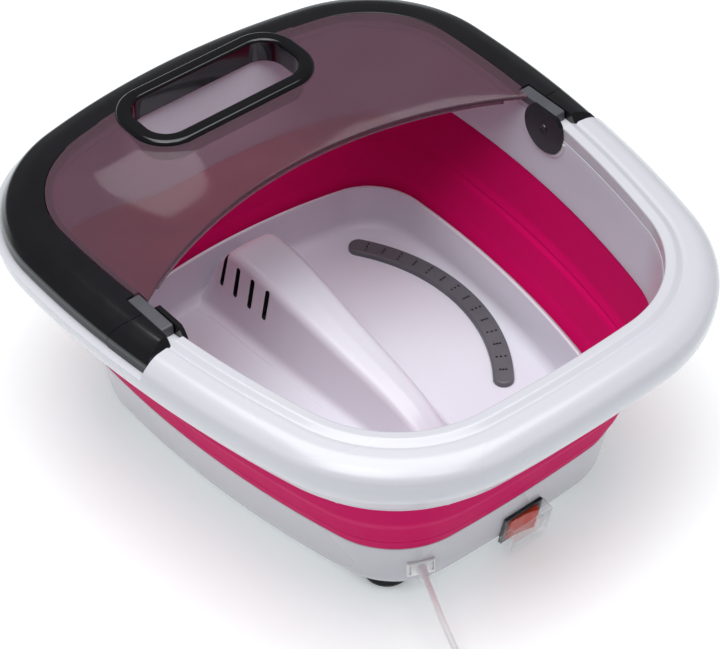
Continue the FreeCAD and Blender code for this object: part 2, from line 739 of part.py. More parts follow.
def rim_liner():
    top = LINER_TOP - 0.2
    profile = [
        (34.8, top, 0.0),
        (LINER_INSET, LINER_BOTTOM, 1.0),
        (24.0, LINER_BOTTOM, 0.0),
        (24.0, LINER_BOTTOM + WALL, 0.0),
        (LINER_INSET - 2.7, LINER_BOTTOM + WALL, 0.0),
        (32.3, top, 0.0),
    ]
    liner = ring(profile)
    for place in outline_points(28.0, 0, RIM_SCREW_ANGLES):
        liner = liner.cut(post(place.x, place.y, LINER_BOTTOM - 1, LINER_BOTTOM + 4, 1.7))
    return cut_pockets(liner)


def rim_screws():
    places = outline_points(28.0, 0, RIM_SCREW_ANGLES)
    return Part.makeCompound([screw(place.x, place.y, LINER_BOTTOM - 1.6, 140, 1.45) for place in places])


# ---- hinges and splash guard --------------------------------------------------------------------------------------
def hinge_block():
    """The black knuckle at the front of each arm of the guard, with its round ear inside the rim."""
    drum = cylinder(Vector(EAR_X, PIVOT_Y, PIVOT_Z), X_AXIS, KNUCKLE_RADIUS, 60)
    seat = filled([(-8.0, 140.0, 0.0)] + [(inset, z + 0.15, radius) for inset, z, radius in REAR_TOP])
    over_rim = drum.common(box(POCKET_X - 0.3, 300, -100, 100, 100, 300)).cut(seat)
    in_pocket = drum.common(box(0, POCKET_X - 0.3, -100, 100, 100, 300))
    block = in_pocket.fuse(over_rim).common(lid_cover())
    slot = box(LINK_X[0] - 0.3, LINK_X[1] + 0.3, -60, 60, PIVOT_Z - 11.3, 250)
    return block.cut(slot).cut(cylinder(Vector(EAR_X - 5, PIVOT_Y, PIVOT_Z), X_AXIS, PIN_RADIUS + 0.05, 25.5))


def hinge_pin():
    return softened(cylinder(Vector(EAR_X + 0.6, PIVOT_Y, PIVOT_Z), X_AXIS, PIN_RADIUS, 19.4), 0.5, lambda edge: True)


def link_bar():
    return box(LINK_X[0], LINK_X[1], PIVOT_Y - 7, 26, 177.5, LID_TOP - 0.8)


def hinge_link():
    eye = cylinder(Vector(LINK_X[0], PIVOT_Y, PIVOT_Z), X_AXIS, 8.0, LINK_X[1] - LINK_X[0])
    web = box(LINK_X[0], LINK_X[1], PIVOT_Y - 7, PIVOT_Y + 7.5, PIVOT_Z, 178)
    bar = softened(link_bar(), 1.2, lambda edge: edge.CenterOfMass.z > LID_TOP - 1)
    hole = cylinder(Vector(100, PIVOT_Y, PIVOT_Z), X_AXIS, PIN_RADIUS + 0.05, 100)
    return eye.fuse(web).fuse(bar).cut(hole)


def lid_cover():
    """Everything under the guard's outer surface."""
    return filled([(5.0, 140.0, 0.0)] + LID_SKIN)


def behind_knuckles(shape):
    knuckles = cylinder(Vector(-300, PIVOT_Y, PIVOT_Z), X_AXIS, POCKET_RADIUS + 0.1, 600)
    return shape.cut(front_of(PIVOT_Y)).cut(knuckles)


def handle_opening(margin, z0, z1):
    return rounded_block(SLOT_HALF + margin, SLOT_Y[0] - margin, SLOT_Y[1] + margin, SLOT_CORNER + margin, z0, z1)


def lid_frame():
    ledge = [
        (28.0, LID_TOP - 1.6, 0.0),
        (BORDER_INSET, LID_TOP - 1.6, 0.0),
        (BORDER_INSET, LID_TOP - WINDOW, 0.0),
        (38.5, LID_TOP - WINDOW, 0.0),
        (38.5, LID_TOP - 4.9, 0.0),
        (28.0, LID_TOP - 4.9, 0.0),
    ]
    frame = behind_knuckles(skin(LID_SKIN, LID_THICKNESS).fuse(ring(ledge)))
    seat = box(120, LINK_X[1], -60, 26, 100, 250)
    frame = frame.cut(seat).cut(mirror_x(seat))
    edge = post(0, EDGE_ARC_Y, 100, LID_TOP - WINDOW, EDGE_ARC_RADIUS)
    frame = frame.cut(edge.common(box(-152, 152, -100, 100, 100, 250)))
    return frame.cut(handle_opening(HANDLE_WALL + 0.2, 150, 250))


def lid_window():
    sheet = plan_face(BORDER_INSET + 0.2, LID_TOP - WINDOW).extrude(Vector(0, 0, WINDOW))
    sheet = sheet.fuse(window_steps()).cut(post(0, EDGE_ARC_Y, 100, 250, EDGE_ARC_RADIUS))
    lip = post(0, EDGE_ARC_Y, LID_TOP - 5.5, LID_TOP - 2.4, EDGE_ARC_RADIUS + 2.5)
    lip = lip.cut(post(0, EDGE_ARC_Y, 100, 250, EDGE_ARC_RADIUS)).common(box(-140, 140, 0, 100, 100, 250))
    corner = box(LINK_X[0], 200, -60, 26, 100, 250)
    sheet = sheet.fuse(lip).cut(corner).cut(mirror_x(corner))
    return sheet.cut(handle_opening(HANDLE_WALL + 0.2, 150, 250))


def window_steps():
    """Two shallow raised panels round the handle."""
    steps = []
    for half, low, corner, rise in ((110.0, 90.0, 60.0, 0.8), (80.0, 107.0, 36.0, 1.6)):
        panel = rounded_block(half, low, 230.0, corner, LID_TOP - 1, LID_TOP + rise)
        steps.append(panel.common(plan_face(BORDER_INSET + 0.2, LID_TOP - 2).extrude(Vector(0, 0, 6))))
    return steps[0].fuse(steps[1])


def handle_ring():
    """The carry handle: a raised rim round the hand slot, with a wall that goes down through the guard."""
    plate = handle_opening(HANDLE_FLANGE, LID_TOP - 0.5, LID_TOP + 4.8)
    plate = softened(plate, 2.2, lambda edge: edge.CenterOfMass.z > LID_TOP + 4)
    plate = plate.cut(lid_cover()).cut(window_steps())
    wall = handle_opening(HANDLE_WALL, LID_TOP - 13, LID_TOP + 3)
    body = plate.fuse(wall).cut(handle_opening(0.0, 100, 250))
    return softened(body, 1.2, lambda edge: edge.CenterOfMass.z > LID_TOP + 4.7 and abs(edge.CenterOfMass.x) < SLOT_HALF + 1)


# ---- all parts ----------------------------------------------------------------------------------------------------
def all_parts():
    parts = {
        "base_shell": base_shell(),
        "tub_basin": tub_basin(),
        "bottom_cover": bottom_cover(),
        "cover_screws": cover_screws(),
        "air_pump_body": air_pump_body(),
        "air_pump_head": air_pump_head(),
        "pump_grommets": pump_grommets(),
        "air_manifold": air_manifold(),
        "heater_plate": heater_plate(),
        "thermal_cutout": thermal_cutout(),
        "terminal_board": terminal_board(),
        "internal_wires": internal_wires(),
        "switch_bezel": switch_bezel(),
        "switch_body": switch_body(),
        "switch_terminals": switch_terminals(),
        "switch_rocker": switch_rocker(),
        "rocker_pin": rocker_pin(),
        "splash_cap": splash_cap(),
        "cord_gland": cord_gland(),
        "cord_clamp": cord_clamp(),
        "power_cord": cord_tube("power_cord", CORD_ROUTE),
        "cord_tail": cord_tube("cord_tail", TAIL_ROUTE),
        "cord_coil": cord_coil(),
        "cord_tie": cord_tie(),
        "plug_body": plug_body(),
        "plug_pins": plug_pins(),
        "folding_wall": folding_wall(),
        "rim_shell": rim_shell(),
        "rim_liner": rim_liner(),
        "rim_screws": rim_screws(),
        "lid_frame": lid_frame(),
        "lid_window": lid_window(),
        "handle_ring": handle_ring(),
    }
    for name, (x, y) in FEET.items():
        parts[name] = foot(x, y)
    for name, make in (
        ("bubble_strip", bubble_strip),
        ("air_hose", air_hose),
        ("hinge_block", hinge_block),
        ("hinge_pin", hinge_pin),
        ("hinge_link", hinge_link),
    ):
        right = make()
        parts[name + "_right"] = right
        parts[name + "_left"] = mirror_x(right)
    return parts


def main():
    os.makedirs("parts", exist_ok=True)
    for name, shape in all_parts().items():
        if not shape.isValid():
            print("not valid:", name)
        print(f"{name}: {len(shape.Solids)} solid(s), {shape.Volume / 1000:.2f} cm3")
        shape.exportStep(f"parts/{name}.step")


main()
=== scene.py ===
"""Looks of the folding foot spa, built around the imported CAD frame.

Lengths are in millimetres, but the camera, the floor and the lamps are placed in metres, as Blender has them.
"""

import json
import math

import bmesh
import bpy
from mathutils import Matrix, Vector
from mathutils.geometry import delaunay_2d_cdt


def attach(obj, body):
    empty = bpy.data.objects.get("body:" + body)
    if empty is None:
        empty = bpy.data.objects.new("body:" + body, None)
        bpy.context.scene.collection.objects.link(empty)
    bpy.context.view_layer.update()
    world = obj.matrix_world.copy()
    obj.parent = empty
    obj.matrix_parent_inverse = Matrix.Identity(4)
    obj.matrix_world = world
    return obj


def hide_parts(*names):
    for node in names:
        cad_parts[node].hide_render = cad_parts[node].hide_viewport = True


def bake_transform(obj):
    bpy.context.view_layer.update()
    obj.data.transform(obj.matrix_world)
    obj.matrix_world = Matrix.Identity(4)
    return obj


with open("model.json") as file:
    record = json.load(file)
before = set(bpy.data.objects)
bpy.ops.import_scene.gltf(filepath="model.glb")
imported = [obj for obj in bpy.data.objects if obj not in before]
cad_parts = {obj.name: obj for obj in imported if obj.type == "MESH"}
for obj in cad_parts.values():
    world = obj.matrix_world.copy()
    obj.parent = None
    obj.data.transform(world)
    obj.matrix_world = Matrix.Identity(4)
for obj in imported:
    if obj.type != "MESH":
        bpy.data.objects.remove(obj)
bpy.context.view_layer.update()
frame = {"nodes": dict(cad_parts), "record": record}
NODES = frame["nodes"]
MM = 0.001


# ---- camera --------------------------------------------------------------------------------------
CAMERA_PLACE = (-0.77937, -0.94641, 1.24421)
CAMERA_TURN, CAMERA_TILT, CAMERA_ROLL = -39.3587, 46.6159, -0.2574
SENSOR_WIDTH = 36.0
LENS = 130.91


def make_camera():
    data = bpy.data.cameras.new("camera")
    data.sensor_width = SENSOR_WIDTH
    data.lens = LENS
    data.clip_start = 0.05
    data.clip_end = 50.0
    camera = bpy.data.objects.new("camera", data)
    bpy.context.scene.collection.objects.link(camera)
    place = Matrix.Translation(CAMERA_PLACE)
    for angle, axis in ((CAMERA_TURN, "Z"), (CAMERA_TILT, "X"), (CAMERA_ROLL, "Z")):
        place @= Matrix.Rotation(math.radians(angle), 4, axis)
    camera.matrix_world = place
    bpy.context.scene.camera = camera


# ---- materials -----------------------------------------------------------------------------------
def linear(channel):
    return channel / 12.92 if channel <= 0.04045 else ((channel + 0.055) / 1.055) ** 2.4


def srgb(red, green, blue):
    return (linear(red / 255), linear(green / 255), linear(blue / 255), 1.0)


class Shader:
    """One node material: a Principled shader with noise for colour, gloss and fine relief."""

    def __init__(self, name, colour, roughness, **settings):
        self.material = bpy.data.materials.new(name)
        self.material.use_nodes = True
        self.tree = self.material.node_tree
        self.bsdf = self.tree.nodes["Principled BSDF"]
        self.bsdf.inputs["Base Color"].default_value = colour
        self.bsdf.inputs["Roughness"].default_value = roughness
        for key, value in settings.items():
            self.bsdf.inputs[key.replace("_", " ")].default_value = value
        self.colour = colour
        self.place = self.node("ShaderNodeTexCoord").outputs["Object"]
        self.relief = None

    def node(self, kind, **settings):
        made = self.tree.nodes.new(kind)
        for key, value in settings.items():
            setattr(made, key, value)
        return made

    def link(self, source, target):
        self.tree.links.new(source, target)

    def noise(self, scale, detail=2.0, roughness=0.5, stretch=None):
        texture = self.node("ShaderNodeTexNoise")
        texture.inputs["Scale"].default_value = scale
        texture.inputs["Detail"].default_value = detail
        texture.inputs["Roughness"].default_value = roughness
        if stretch:
            mapping = self.node("ShaderNodeMapping")
            mapping.inputs["Scale"].default_value = stretch
            self.link(self.place, mapping.inputs["Vector"])
            self.link(mapping.outputs["Vector"], texture.inputs["Vector"])
        else:
            self.link(self.place, texture.inputs["Vector"])
        return texture.outputs["Fac"]

    def ranged(self, value, low, high, start=0.3, end=0.7):
        spread = self.node("ShaderNodeMapRange")
        spread.inputs["From Min"].default_value = start
        spread.inputs["From Max"].default_value = end
        spread.inputs["To Min"].default_value = low
        spread.inputs["To Max"].default_value = high
        self.link(value, spread.inputs["Value"])
        return spread.outputs["Result"]

    def mottle(self, scale, amount, tint=None, detail=3.0):
        """Slow change of colour over the surface."""
        other = tint or tuple(channel * 0.8 for channel in self.colour[:3]) + (1.0,)
        mix = self.node("ShaderNodeMix", data_type="RGBA")
        mix.inputs["A"].default_value = self.colour
        mix.inputs["B"].default_value = other
        self.link(self.ranged(self.noise(scale, detail), 0.0, amount), mix.inputs["Factor"])
        self.link(mix.outputs["Result"], self.bsdf.inputs["Base Color"])
        return self

    def smudge(self, scale, low, high, detail=4.0):
        """Uneven gloss, as from handling."""
        self.link(self.ranged(self.noise(scale, detail, 0.6), low, high), self.bsdf.inputs["Roughness"])
        return self

    def grain(self, scale, depth, detail=2.0, stretch=None):
        """Fine relief, depth in millimetres."""
        bump = self.node("ShaderNodeBump")
        bump.inputs["Strength"].default_value = 1.0
        bump.inputs["Distance"].default_value = depth * MM
        self.link(self.noise(scale, detail, 0.5, stretch), bump.inputs["Height"])
        if self.relief:
            self.link(self.relief, bump.inputs["Normal"])
        self.relief = bump.outputs["Normal"]
        self.link(self.relief, self.bsdf.inputs["Normal"])
        return self


def make_materials():
    """One shader for each of the record's material slots."""
    made = {}

    def add(name, colour, roughness, **settings):
        made[name] = Shader(name, colour, roughness, **settings)
        return made[name]

    # The faint lilac in both whites is painted shade colour, the tint the shaded sides take. white_tub is
    # also set lighter than white_shell: partly its own colour, partly painted light for the shaded inside of
    # the bowl and the rim's inner wall.
    look = add("white_shell", srgb(208, 208, 215), 0.28, Coat_Weight=0.5, Coat_Roughness=0.16)
    look.mottle(7, 0.6, srgb(202, 202, 210), 0.0).smudge(9, 0.25, 0.31, 0.0)
    look = add("white_tub", srgb(217, 217, 227), 0.3, Coat_Weight=0.1, Coat_Roughness=0.15)
    look.mottle(7, 0.6, srgb(210, 210, 222), 0.0).smudge(9, 0.28, 0.34, 0.0)
    look = add("white_under", srgb(225, 225, 228), 0.5)
    look.mottle(12, 0.4).grain(1400, 0.05)
    look = add("foot_rubber", srgb(44, 44, 48), 0.75)
    look.mottle(60, 0.5, srgb(70, 70, 74)).grain(1500, 0.06)
    look = add("screw_steel", srgb(180, 180, 184), 0.32, Metallic=1.0)
    look.smudge(300, 0.25, 0.45).grain(800, 0.02)
    look = add("strip_plastic", srgb(92, 92, 98), 0.42)
    look.mottle(40, 0.4, srgb(70, 70, 76)).grain(1500, 0.03)
    look = add("pump_grey", srgb(70, 74, 82), 0.55)
    look.mottle(30, 0.4).grain(1500, 0.06)
    look = add("pump_head", srgb(205, 205, 196), 0.5)
    look.mottle(40, 0.3).grain(1500, 0.05)
    look = add("grommet_rubber", srgb(30, 30, 30), 0.8)
    look.mottle(80, 0.4, srgb(52, 52, 52)).grain(1800, 0.05)
    look = add("clear_fitting", srgb(214, 218, 220), 0.35, Subsurface_Weight=0.2)
    look.mottle(50, 0.3).grain(1500, 0.03)
    look = add("hose_vinyl", srgb(215, 220, 218), 0.3, Subsurface_Weight=0.3)
    look.mottle(50, 0.3).grain(500, 0.04)
    look = add("heater_aluminium", srgb(196, 197, 200), 0.38, Metallic=1.0)
    look.smudge(90, 0.3, 0.5).grain(400, 0.03, 2.0, (1.0, 12.0, 1.0))
    look = add("cutout_phenolic", srgb(40, 30, 26), 0.5)
    look.mottle(80, 0.5).grain(1500, 0.04)
    look = add("circuit_board", srgb(34, 92, 48), 0.35)
    look.mottle(120, 0.6, srgb(20, 70, 34)).grain(900, 0.03)
    look = add("wire_insulation", srgb(110, 66, 38), 0.45)
    look.mottle(60, 0.4).grain(900, 0.03)
    look = add("cord_white", srgb(250, 250, 250), 0.42)
    look.mottle(30, 0.4, srgb(222, 222, 226)).smudge(80, 0.36, 0.5).grain(1200, 0.03)
    look = add("clamp_plastic", srgb(220, 220, 222), 0.45)
    look.mottle(60, 0.3).grain(1500, 0.04)
    look = add("switch_black", srgb(26, 26, 28), 0.32)
    look.mottle(60, 0.5, srgb(40, 40, 42)).smudge(90, 0.26, 0.42).grain(1600, 0.03)
    look = add("brass_blade", srgb(206, 172, 92), 0.25, Metallic=1.0)
    look.smudge(200, 0.2, 0.4).grain(900, 0.01)
    look = add(
        "rocker_red", srgb(176, 30, 14), 0.22,
        Coat_Weight=0.4, Emission_Color=srgb(255, 90, 30), Emission_Strength=0.06,
    )
    look.mottle(90, 0.6, srgb(205, 58, 20)).smudge(90, 0.18, 0.3).grain(700, 0.01)
    look = add("pin_steel", srgb(184, 184, 188), 0.25, Metallic=1.0)
    look.smudge(200, 0.2, 0.35).grain(900, 0.01)
    look = add("cap_clear", srgb(250, 250, 252), 0.04, Transmission_Weight=1.0, IOR=1.2, Alpha=0.3)
    look.smudge(70, 0.03, 0.12).grain(120, 0.02)
    look = add("wall_magenta", srgb(204, 10, 94), 0.6, Specular_IOR_Level=0.05)
    look.mottle(14, 0.35, srgb(205, 14, 98)).smudge(40, 0.5, 0.6).grain(1300, 0.012).grain(45, 0.03)
    look = add("plug_white", srgb(240, 240, 240), 0.3)
    look.mottle(40, 0.35).smudge(60, 0.25, 0.4).grain(1300, 0.03)
    look = add("pin_brass", srgb(214, 198, 150), 0.2, Metallic=1.0)
    look.smudge(200, 0.15, 0.3).grain(900, 0.01)
    look = add("tie_black", srgb(34, 34, 36), 0.7)
    look.mottle(90, 0.5, srgb(60, 60, 62)).grain(900, 0.1)
    look = add(
        "guard_black", srgb(15, 15, 18), 0.12,
        Specular_IOR_Level=0.5, Coat_Weight=0.3, Coat_Roughness=0.04,
    )
    look.mottle(25, 0.5, srgb(27, 26, 30)).smudge(45, 0.12, 0.2)
    look = add("window_smoked", srgb(158, 126, 140), 0.07, Transmission_Weight=0.8, IOR=1.3)
    look.mottle(20, 0.4, srgb(148, 116, 130)).smudge(60, 0.06, 0.11)
    look = add(
        "handle_black", srgb(13, 13, 15), 0.14,
        Specular_IOR_Level=0.4, Coat_Weight=0.3, Coat_Roughness=0.06,
    )
    look.mottle(30, 0.5, srgb(19, 19, 22)).smudge(60, 0.1, 0.2).grain(40, 0.008)
    look = add("link_grey", srgb(84, 84, 90), 0.38)
    look.mottle(60, 0.4, srgb(68, 68, 74)).smudge(80, 0.3, 0.46).grain(1200, 0.02)
    return {name: shader.material for name, shader in made.items()}


# ---- meshes --------------------------------------------------------------------------------------
def link_mesh(name, mesh, material, body):
    piece = bpy.data.objects.new(name, mesh)
    bpy.context.scene.collection.objects.link(piece)
    if material:
        piece.data.materials.append(MATERIALS[material])
    if body:
        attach(piece, body)
    return piece


def smooth(mesh, angle=35.0):
    for polygon in mesh.polygons:
        polygon.use_smooth = True
    mesh.set_sharp_from_angle(angle=math.radians(angle))


def finished(name, made, material, body, angle=35.0):
    """Closes a bmesh in millimetres and makes it an object in metres."""
    bmesh.ops.remove_doubles(made, verts=made.verts, dist=0.0005)
    bmesh.ops.recalc_face_normals(made, faces=made.faces)
    bmesh.ops.scale(made, vec=(MM, MM, MM), verts=made.verts)
    mesh = bpy.data.meshes.new(name)
    made.to_mesh(mesh)
    made.free()
    smooth(mesh, angle)
    return link_mesh(name, mesh, material, body)


def lattice(made, rows, loop=False, around=True, ends=False):
    """Quads over rows of points. loop joins the last row to the first, around joins the ends of each row,
    and ends closes both ends of rows that run side by side."""
    grid = [[made.verts.new(point) for point in row] for row in rows]
    count = len(grid[0])
    lines = list(zip(grid, grid[1:] + grid[:1])) if loop else list(zip(grid, grid[1:]))
    for lower, upper in lines:
        for k in range(count if around else count - 1):
            after = (k + 1) % count
            made.faces.new((lower[k], lower[after], upper[after], upper[k]))
    if ends:
        for k in (0, count - 1):
            made.faces.new([row[k] for row in grid])
    return grid


def capped(made, rows):
    """A lattice closed by faces over its first and last rows."""
    grid = lattice(made, rows)
    made.faces.new(grid[0])
    made.faces.new(grid[-1])


def rounded(points, steps=7, closed=False):
    """(a, b, radius) corners as a polyline with short arcs."""
    line = [] if closed else [Vector(points[0][:2])]
    corners = zip(points[-1:] + points[:-1], points, points[1:] + points[:1])
    if not closed:
        corners = zip(points, points[1:], points[2:])
    for before, corner, after in corners:
        centre = Vector(corner[:2])
        back = (Vector(before[:2]) - centre).normalized()
        ahead = (Vector(after[:2]) - centre).normalized()
        half = back.angle(ahead) / 2
        if corner[2] <= 0 or half > 1.565:
            line.append(centre)
            continue
        cut = corner[2] / math.tan(half)
        middle = centre + (back + ahead).normalized() * (corner[2] / math.sin(half))
        start = centre + back * cut - middle
        end = centre + ahead * cut - middle
        turn = start.angle_signed(end)
        for k in range(steps + 1):
            line.append(middle + Matrix.Rotation(-turn * k / steps, 2) @ start)
    if not closed:
        line.append(Vector(points[-1][:2]))
    return line


def resampled(line, count):
    """The same polyline with evenly spaced points."""
    lengths = [0.0]
    for start, end in zip(line, line[1:]):
        lengths.append(lengths[-1] + (end - start).length)
    made = []
    k = 0
    for step in range(count):
        wanted = lengths[-1] * step / (count - 1)
        while k < len(line) - 2 and lengths[k + 1] < wanted:
            k += 1
        part = (wanted - lengths[k]) / max(lengths[k + 1] - lengths[k], 1e-9)
        made.append(line[k].lerp(line[k + 1], min(max(part, 0.0), 1.0)))
    return made


def divided(section, long_side=20.0, parts=6):
    """A closed section with its long sides cut into parts, so that faces on them aren't too slender."""
    made = []
    for start, end in zip(section, section[1:] + section[:1]):
        count = parts if (end - start).length > long_side else 1
        made += [start.lerp(end, k / count) for k in range(count)]
    return made


def carve(piece, tools, operation="DIFFERENCE"):
    """Boolean cuts or joins with other meshes, applied at once; the tools are then removed."""
    for tool in tools:
        modifier = piece.modifiers.new(tool.name, "BOOLEAN")
        modifier.operation = operation
        modifier.solver = "EXACT"
        modifier.object = tool
    bpy.context.view_layer.update()
    shaped = piece.evaluated_get(bpy.context.evaluated_depsgraph_get())
    mesh = bpy.data.meshes.new_from_object(shaped)
    piece.modifiers.clear()
    old = piece.data
    piece.data = mesh
    bpy.data.meshes.remove(old)
    for tool in tools:
        bpy.data.objects.remove(tool)
    return piece


def softened(piece, width, segments=2, angle=32.0):
    """Small round edges."""
    smooth(piece.data, angle)
    bevel = piece.modifiers.new("edges", "BEVEL")
    bevel.width = width * MM
    bevel.segments = segments
    bevel.limit_method = "ANGLE"
    bevel.angle_limit = math.radians(angle)
    bevel.use_clamp_overlap = True
    bevel.harden_normals = True
    return piece


def prism(name, line, low, high, material=None, body=None, axis="Z"):
    """A closed outline extruded from low to high along an axis."""
    order = {
        "X": lambda p, t: (t, p[0], p[1]),
        "Y": lambda p, t: (p[0], t, p[1]),
        "Z": lambda p, t: (p[0], p[1], t),
    }[axis]
    made = bmesh.new()
    capped(made, [[order(p, t) for p in line] for t in (low, high)])
    return finished(name, made, material, body)


def circle(radius, centre=(0.0, 0.0), count=96):
    turns = [2 * math.pi * k / count for k in range(count)]
    return [(centre[0] + radius * math.cos(t), centre[1] + radius * math.sin(t)) for t in turns]


def rectangle(x0, x1, y0, y1, corner=0.0, steps=8):
    corners = [(x0, y0, corner), (x1, y0, corner), (x1, y1, corner), (x0, y1, corner)]
    return rounded(corners, steps, True)


# ---- plan outline, the same as in the CAD model --------------------------------------------------
HALF_DEPTH, HALF_WIDTH = 212, 191
FRONT_RADIUS, SIDE_RADIUS, REAR_RADIUS = 1085, 738, 494
FRONT_CORNER, REAR_CORNER = 116, 106
SIDE_CENTRE_Y = 67


def outline_arcs():
    """The plan's eight tangent arcs, anticlockwise from the front: centre, radius, two headings, steps."""

    def touching(centre_a, radius_a, centre_b, radius_b, corner):
        reach_a, reach_b = radius_a - corner, radius_b - corner
        gap = centre_b - centre_a
        along = (reach_a**2 - reach_b**2 + gap.length_squared) / (2 * gap.length)
        side = Vector((-gap.y, gap.x)).normalized() * math.sqrt(reach_a**2 - along**2)
        foot = centre_a + gap * (along / gap.length)
        return max(foot + side, foot - side, key=lambda point: point.x)

    def heading(start, end):
        return math.degrees(math.atan2(end.y - start.y, end.x - start.x))

    def flipped(point):
        return Vector((-point.x, point.y))

    front = Vector((0, FRONT_RADIUS - HALF_DEPTH))
    side = Vector((HALF_WIDTH - SIDE_RADIUS, SIDE_CENTRE_Y))
    rear = Vector((0, HALF_DEPTH - REAR_RADIUS))
    low = touching(front, FRONT_RADIUS, side, SIDE_RADIUS, FRONT_CORNER)
    high = touching(rear, REAR_RADIUS, side, SIDE_RADIUS, REAR_CORNER)
    a, b, c, d = heading(front, low), heading(side, low), heading(side, high), heading(rear, high)
    return [
        (front, FRONT_RADIUS, -180 - a, a, 28),
        (low, FRONT_CORNER, a, b, 40),
        (side, SIDE_RADIUS, b, c, 36),
        (high, REAR_CORNER, c, d, 44),
        (rear, REAR_RADIUS, d, 180 - d, 36),
        (flipped(high), REAR_CORNER, 180 - d, 180 - c, 44),
        (flipped(side), SIDE_RADIUS, 180 - c, 180 - b, 36),
        (flipped(low), FRONT_CORNER, 180 - b, 180 - a, 40),
    ]


ARCS = outline_arcs()
SIDE_ARC = 2


def outline(inset):
    """Points round the inset outline; every inset gives the same number of points."""
    points = []
    for centre, radius, first, last, steps in ARCS:
        for k in range(steps):
            turn = math.radians(first + (last - first) * k / steps)
            points.append(centre + Vector((math.cos(turn), math.sin(turn))) * (radius - inset))
    return points


def side_point(inset, y, side):
    """Where the side of the inset outline crosses a given y."""
    centre, radius = ARCS[SIDE_ARC][:2]
    return Vector((side * (centre.x + math.sqrt((radius - inset) ** 2 - (y - centre.y) ** 2)), y))


def sweep(name, profile, material, body):
    """A closed (inset, z) profile carried round the outline."""
    made = bmesh.new()
    lattice(made, [[(p.x, p.y, z) for p in outline(inset)] for inset, z in profile], loop=True)
    return finished(name, made, material, body)


def filled(name, profile):
    """A solid cutter whose side follows an (inset, z) profile."""
    made = bmesh.new()
    capped(made, [[(p.x, p.y, z) for p in outline(inset)] for inset, z in profile])
    return finished(name, made, None, None)


def part_sweep(made, profile, end_y, front, loop):
    """A profile carried along the front or the rear of the outline, up to ends whose y depends on height."""
    rows = []
    clear = 4.0
    if front:
        limit = min(end_y(z) for _, z in profile) - clear
    else:
        limit = max(end_y(z) for _, z in profile) + clear
    for inset, z in profile:
        points = outline(inset)
        kept = [k for k, p in enumerate(outline(0.0)) if (p.y < limit if front else p.y > limit)]
        first = next(k for k in kept if (k - 1) % len(points) not in kept)
        row = []
        k = first
        while k in kept:
            row.append(points[k])
            k = (k + 1) % len(points)
        sides = (-1, 1) if front else (1, -1)
        row = [side_point(inset, end_y(z), sides[0])] + row + [side_point(inset, end_y(z), sides[1])]
        rows.append([(p.x, p.y, z) for p in row])
    return lattice(made, rows, loop=loop, around=False)


# ---- cord ----------------------------------------------------------------------------------------
CORD_RADIUS = 2.0
CORD_ROUTE = [
    (-79.18, -155.25, 32.0),
    (-83.9, -166.4, 31.8),
    (-89.5, -180.0, 30.0),
    (-94.0, -195.0, 24.5),
    (-97.0, -211.0, 14.0),
    (-98.0, -227.0, 5.8),
    (-97.5, -240.0, 2.3),
    (-96.0, -250.0, 2.0),
]
TAIL_ROUTE = [
    (-172.0, -250.0, 6.0),
    (-172.9, -239.0, 6.1),
    (-172.7, -227.0, 6.7),
    (-172.0, -216.0, 7.0),
]
COIL_CENTRE = Vector((-134.0, -250.0, 0.0))
COIL_RADIUS = 38.0
COIL_STEP = 4.3
COIL_TURNS = 8.5
TURNS_BELOW = 4
CLIMB_TURNS = 0.4
POINTS_PER_TURN = 16


def coil_points():
    """Eight and a half turns: inwards on the floor, up a layer, and outwards on top."""
    inner = COIL_RADIUS - TURNS_BELOW * COIL_STEP
    outward = TURNS_BELOW * COIL_STEP / (COIL_TURNS - TURNS_BELOW - CLIMB_TURNS)
    points = []
    for k in range(1, int(COIL_TURNS * POINTS_PER_TURN)):
        t = k / POINTS_PER_TURN
        if t <= TURNS_BELOW:
            radius = COIL_RADIUS - COIL_STEP * t
            z = CORD_RADIUS
        elif t <= TURNS_BELOW + CLIMB_TURNS:
            radius = inner
            z = CORD_RADIUS + 2 * CORD_RADIUS * (t - TURNS_BELOW) / CLIMB_TURNS
        else:
            radius = inner + outward * (t - TURNS_BELOW - CLIMB_TURNS)
            z = 3 * CORD_RADIUS
        turn = -2 * math.pi * t
        points.append(COIL_CENTRE + Vector((radius * math.cos(turn), radius * math.sin(turn), z)))
    return points


def make_cord():
    points = [Vector(p) for p in CORD_ROUTE] + coil_points() + [Vector(p) for p in TAIL_ROUTE]
    curve = bpy.data.curves.new("mains_cord", "CURVE")
    curve.dimensions = "3D"
    curve.bevel_depth = CORD_RADIUS * MM
    curve.bevel_resolution = 6
    curve.use_fill_caps = True
    spline = curve.splines.new("NURBS")
    spline.points.add(len(points) - 1)
    for point, place in zip(spline.points, points):
        point.co = (place.x * MM, place.y * MM, place.z * MM, 1.0)
    spline.order_u = 3
    spline.use_endpoint_u = True
    spline.resolution_u = 6
    cord = bpy.data.objects.new("mains_cord", curve)
    bpy.context.scene.collection.objects.link(cord)
    curve.materials.append(MATERIALS["cord_white"])
    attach(cord, "base")
    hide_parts("power_cord", "cord_coil", "cord_tail")


# ---- rim -----------------------------------------------------------------------------------------
PIVOT_Y, PIVOT_Z = -2.0, 171.0
KNUCKLE_RADIUS = 17.8
POCKET_RADIUS = 18.15
LINER_POCKET_RADIUS = 18.0
CREST_START_Z = 166.5
RIM_THICKNESS = 2.4
LINER_TOP_Z, LINER_FOOT_Z = 171.6, 124.6
LINER_TOP_INSET, LINER_FOOT_INSET = 34.9, 37.6
LINER_POCKET_X = (130.0, 172.0)
CUT_LOW, CUT_HIGH = 100, 250


def pocket_reach(z):
    """Half the width of the knuckle's pocket at a height."""
    return math.sqrt(max(POCKET_RADIUS**2 - (z - PIVOT_Z) ** 2, 0.0))


def knuckle_front(z):
    return PIVOT_Y - pocket_reach(z)


def knuckle_back(z):
    return PIVOT_Y + pocket_reach(z)


